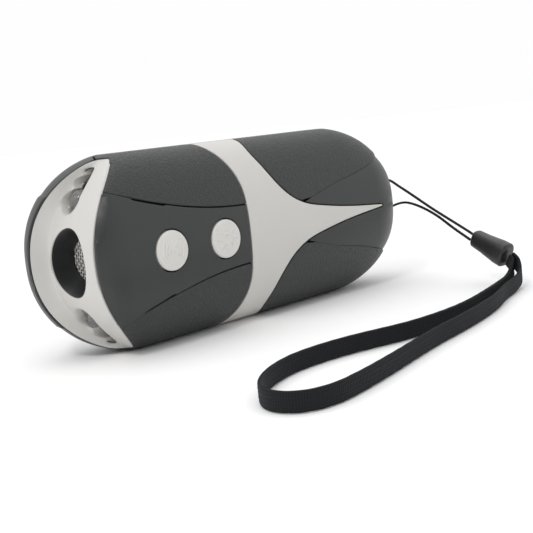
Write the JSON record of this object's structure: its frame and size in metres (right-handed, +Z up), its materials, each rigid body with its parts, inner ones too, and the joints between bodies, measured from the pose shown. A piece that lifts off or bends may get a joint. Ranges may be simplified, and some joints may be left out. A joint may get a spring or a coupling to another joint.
{
  "type": "hand-held electronic sound caller",
  "caption": "Capsule-shaped hand-held electronic sound caller with a horn mouth, front lamps, push buttons, a sliding battery cover and a wrist strap.",
  "frame": {"origin": "middle of the footprint of the body's box, which stands on one of its two long narrow edges", "axes": "+X along the body from the horn end to the strap end, -Y the button side, +Z up from one long narrow edge to the other"},
  "size_m": [0.1268, 0.0965, 0.0477],
  "materials": {
    "smooth_shell": "fine satin moulded plastic",
    "grained_grip": "moulded leather grain",
    "light_trim": "satin light grey plastic",
    "button": "satin light grey plastic with a shallow embossed sign",
    "horn_black": "matte black plastic",
    "steel": "plain steel",
    "lamp": "clear lamp resin",
    "lamp_reflector": "bright reflector plastic",
    "circuit": "green laminate",
    "component_black": "black component body",
    "battery_case": "plain dark battery jacket",
    "wire_red": "red wire",
    "wire_black": "black wire",
    "foam": "open foam",
    "rubber_black": "black rubber",
    "strap_string": "braided thin string",
    "strap_ribbon": "ribbed flat woven ribbon",
    "strap_slider": "smooth dark plastic"
  },
  "bodies": {
    "root": {"back_shell": "smooth_shell", "battery_block": "battery_case", "battery_snap": "component_black", "battery_wire_black": "wire_black", "battery_wire_red": "wire_red", "case_screw_1": "steel", "case_screw_2": "steel", "case_screw_3": "steel", "case_screw_4": "steel", "circuit_board": "circuit", "driver_chip": "component_black", "face_inlay": "light_trim", "face_shell": "smooth_shell", "front_grip_lower": "grained_grip", "front_grip_upper": "grained_grip", "front_panel": "smooth_shell", "horn_funnel": "horn_black", "lamp_lower": "lamp", "lamp_tray_lower": "lamp_reflector", "lamp_tray_upper": "lamp_reflector", "lamp_upper": "lamp", "light_switch": "steel", "nose_bezel": "light_trim", "rear_grip_lower": "grained_grip", "rear_grip_upper": "grained_grip", "rear_panel": "smooth_shell", "sound_switch": "steel", "step_up_transformer": "component_black", "storage_capacitor": "component_black", "strap_pin": "steel", "strap_ribbon": "strap_ribbon", "strap_slider": "strap_slider", "strap_string_lower": "strap_string", "strap_string_upper": "strap_string", "transducer_can": "steel", "transducer_gasket": "rubber_black", "transducer_mesh": "steel"},
    "sound_button": {"sound_button": "button", "sound_switch_plunger": "component_black"},
    "light_button": {"light_button": "button", "light_switch_plunger": "component_black"},
    "battery_cover": {"battery_cover": "smooth_shell", "battery_pad": "foam"}
  },
  "joints": [
    {"name": "sound_button_press", "type": "slide", "parent": "root", "child": "sound_button", "axis": [0, 1, 0], "range_m": [0, 0.001], "stiffness_N_per_m": 400},
    {"name": "light_button_press", "type": "slide", "parent": "root", "child": "light_button", "axis": [0, 1, 0], "range_m": [0, 0.001], "stiffness_N_per_m": 400},
    {"name": "battery_cover_slide", "type": "slide", "parent": "root", "child": "battery_cover", "axis": [1, 0, 0], "range_m": [0, 0.01]}
  ]
}
